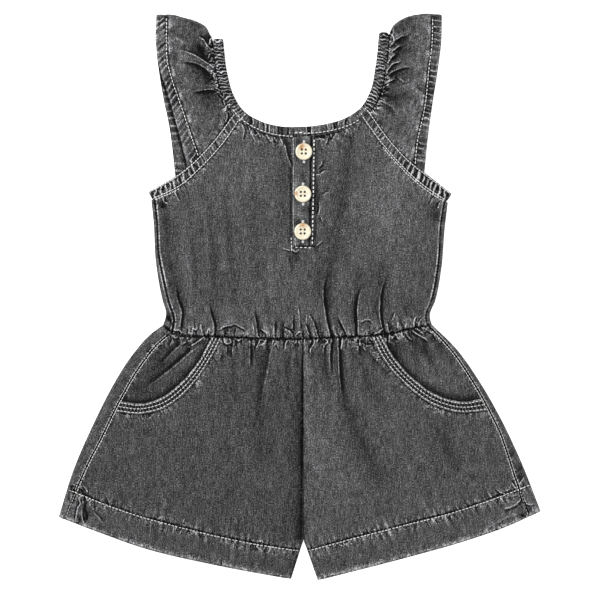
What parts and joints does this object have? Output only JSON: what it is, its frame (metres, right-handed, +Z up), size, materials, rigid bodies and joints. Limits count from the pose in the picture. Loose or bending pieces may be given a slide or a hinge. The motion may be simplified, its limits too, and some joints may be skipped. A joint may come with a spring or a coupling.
{
  "type": "baby denim romper",
  "caption": "Baby denim romper laid flat: flutter sleeves, elastic neck casing, buttoned placket, elastic waist and wide shorts with scoop pockets.",
  "frame": {"origin": "centre of the garment's outline, on the surface that it lies on", "axes": "+Z up from the surface, +Y towards the neck, +X towards the wearer's left"},
  "size_m": [0.3861, 0.4537, 0.0094],
  "materials": {
    "washed_denim": "washed black twill, matt, worn pale along seams and creases",
    "denim_trim": "washed black twill on bindings, bands and casing, with pale grey thread",
    "cream_button": "cream horn look with amber patches, satin gloss"
  },
  "bodies": {
    "root": {"bodice_front": "washed_denim", "bodice_back": "washed_denim", "sleeve_left": "washed_denim", "sleeve_right": "washed_denim", "leg_front_left": "washed_denim", "leg_front_right": "washed_denim", "leg_back_left": "washed_denim", "leg_back_right": "washed_denim", "pocket_facing_left": "washed_denim", "pocket_facing_right": "washed_denim", "placket": "denim_trim", "neck_casing": "denim_trim", "armhole_binding_left": "denim_trim", "armhole_binding_right": "denim_trim", "pocket_band_left": "denim_trim", "pocket_band_right": "denim_trim", "button_top": "cream_button", "button_middle": "cream_button", "button_bottom": "cream_button"}
  },
  "joints": []
}
